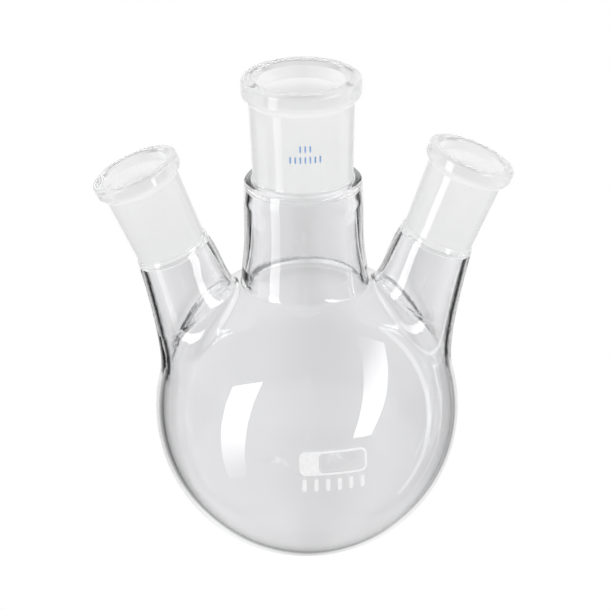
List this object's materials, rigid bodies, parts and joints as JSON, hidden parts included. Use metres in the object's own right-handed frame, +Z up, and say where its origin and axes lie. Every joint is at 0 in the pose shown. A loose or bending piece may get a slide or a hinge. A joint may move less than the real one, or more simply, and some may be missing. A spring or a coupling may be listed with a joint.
{
  "type": "round bottom flask",
  "caption": "Clear glass round bottom flask with a straight centre neck and angled side necks, each ending in a frosted ground socket with a rounded rim.",
  "frame": {"origin": "lowest point of the round bulb, on the centre neck's axis", "axes": "+Z up along the centre neck's axis, out of its mouth; +X towards the right side neck; the enamel prints face -Y"},
  "size_m": [0.1152, 0.0851, 0.141],
  "materials": {
    "clear_glass": "clear, polished borosilicate glass",
    "frosted_glass": "clear glass outside, fine ground frosted cone inside",
    "white_enamel": "fired white enamel print, slightly satin",
    "blue_enamel": "fired pale blue enamel print, slightly satin"
  },
  "bodies": {
    "root": {"bulb": "clear_glass", "centre_neck": "clear_glass", "left_neck": "clear_glass", "right_neck": "clear_glass", "centre_socket": "frosted_glass", "left_socket": "frosted_glass", "right_socket": "frosted_glass", "white_panel_print": "white_enamel", "white_scale_print": "white_enamel", "blue_joint_print": "blue_enamel"}
  },
  "joints": []
}
